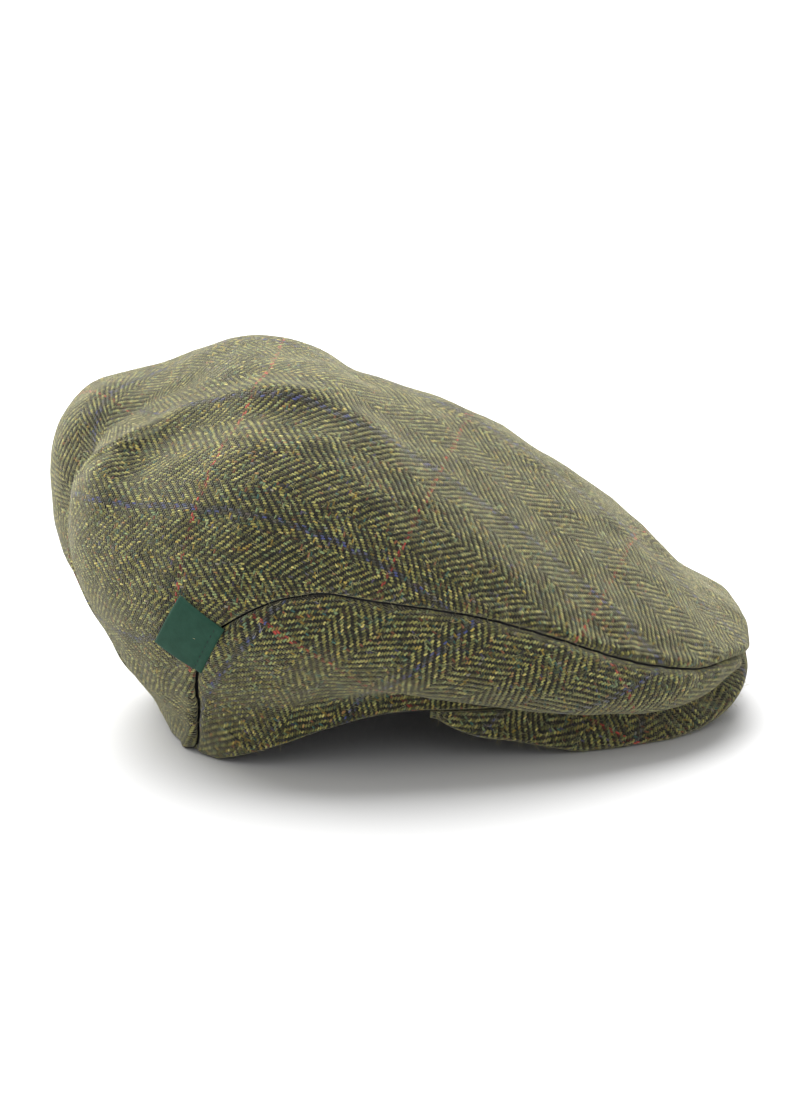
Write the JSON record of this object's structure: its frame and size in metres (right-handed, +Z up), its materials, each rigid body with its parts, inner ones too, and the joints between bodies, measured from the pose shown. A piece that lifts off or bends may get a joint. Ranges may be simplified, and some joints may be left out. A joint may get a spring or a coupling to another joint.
{
  "type": "flat cap",
  "caption": "Flat cap of herringbone tweed with a stuffed crown, a short stiff peak under its front edge, a dark lining and a small leather tab.",
  "frame": {"origin": "on the table under the middle of the cap, which lies on its rim at the back and on the sides of its peak", "axes": "+Z up, -Y the way the peak points, -X the wearer's right side, where the leather tab is"},
  "size_m": [0.196, 0.2776, 0.1463],
  "materials": {
    "tweed": "dark olive herringbone wool with a thin blue and red check",
    "lining_cloth": "plain dark cloth",
    "green_leather": "matt embossed green, bare"
  },
  "bodies": {
    "root": {"crown_top": "tweed", "side_panel_right": "tweed", "side_panel_left": "tweed", "peak": "tweed", "lining": "lining_cloth", "label": "green_leather"}
  },
  "joints": []
}
